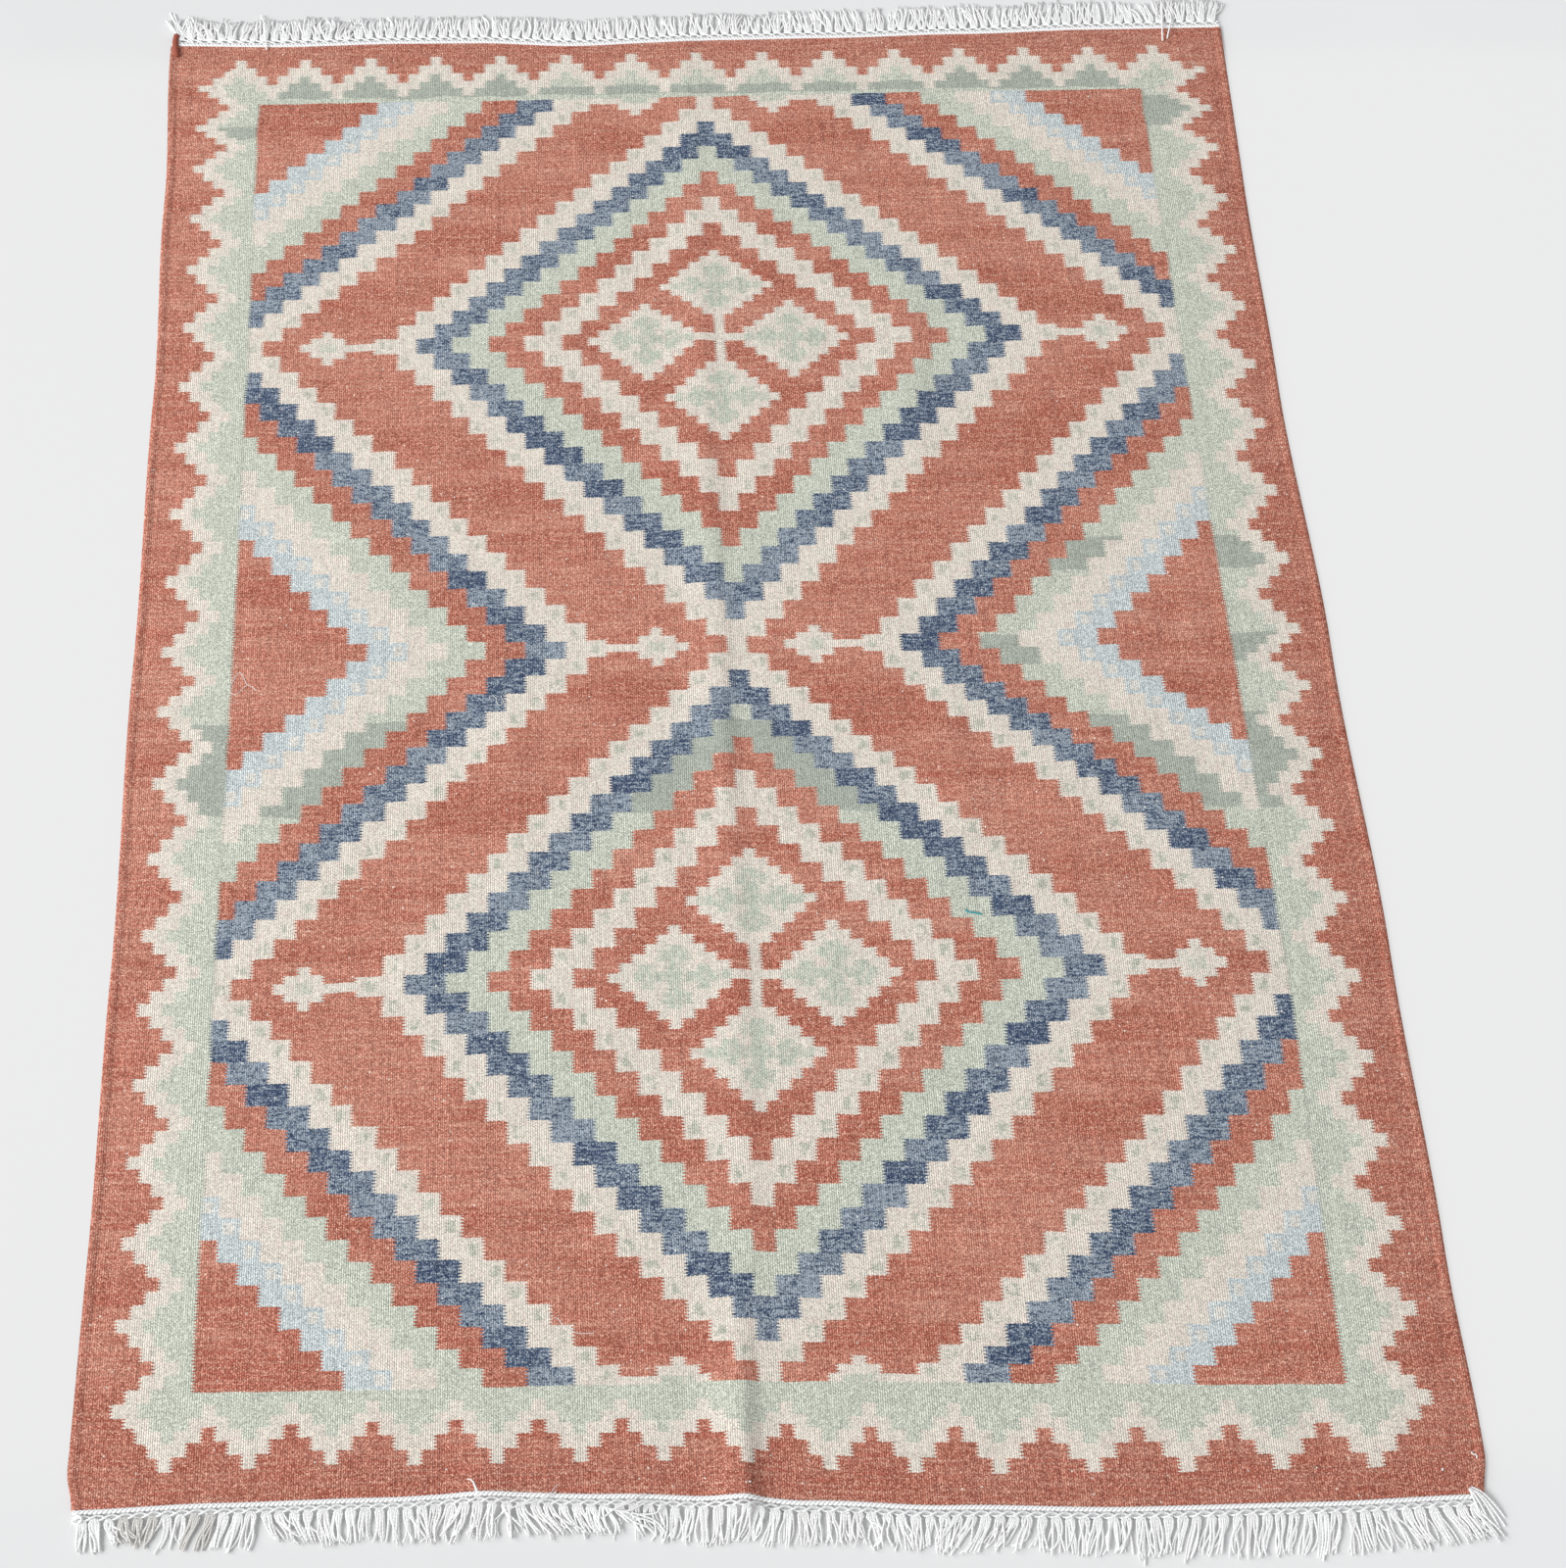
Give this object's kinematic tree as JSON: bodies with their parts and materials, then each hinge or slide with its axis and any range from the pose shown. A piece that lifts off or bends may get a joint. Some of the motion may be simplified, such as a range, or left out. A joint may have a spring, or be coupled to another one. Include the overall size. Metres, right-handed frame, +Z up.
{
  "type": "flat-woven kilim rug with a knotted fringe",
  "caption": "Rectangular flat-woven rug with stepped diamond medallions, a toothed border and a short knotted cotton fringe on both ends.",
  "frame": {"origin": "on the floor, under the middle of the rug's box, fringes included", "axes": "+X across the rug, +Y along it from the near fringe to the far one, +Z up off the floor"},
  "size_m": [1.3662, 1.9488, 0.0113],
  "materials": {
    "woven_wool": "matt weft-faced flat weave in terracotta, beige, sage and navy, with darker and lighter picks",
    "fringe_cotton": "matt unbleached plied cotton"
  },
  "bodies": {
    "root": {"woven_cloth": "woven_wool", "near_fringe": "fringe_cotton", "far_fringe": "fringe_cotton"}
  },
  "joints": []
}
